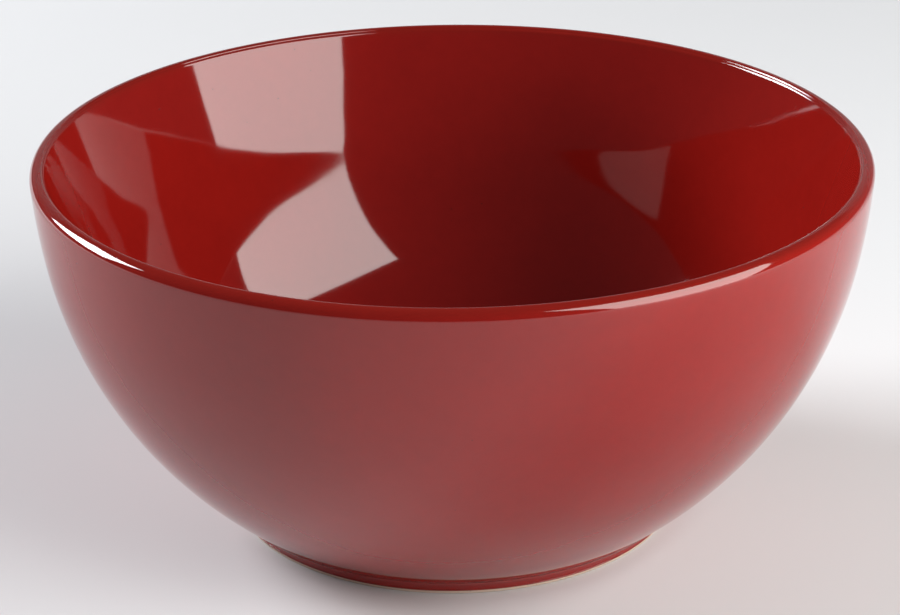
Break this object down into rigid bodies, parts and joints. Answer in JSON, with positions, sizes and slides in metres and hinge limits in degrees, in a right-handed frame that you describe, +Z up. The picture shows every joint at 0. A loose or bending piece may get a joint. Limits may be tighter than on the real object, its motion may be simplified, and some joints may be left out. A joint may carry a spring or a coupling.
{
  "type": "glazed ceramic bowl",
  "caption": "Deep round serving bowl with a smooth, nearly half-spherical wall, an eased lip and a low ring foot, in glossy deep red glaze with a bare clay line at the foot.",
  "frame": {"origin": "centre of the foot's resting face", "axes": "+Z up along the bowl's axis of revolution, out of its mouth; X and Y are level and interchangeable"},
  "size_m": [0.2298, 0.2296, 0.1045],
  "materials": {
    "red_glaze": "gloss",
    "bare_clay": "matte"
  },
  "bodies": {
    "root": {"bowl": "red_glaze", "foot_ring": "bare_clay", "foot_glaze": "red_glaze", "recess_glaze": "red_glaze"}
  },
  "joints": []
}
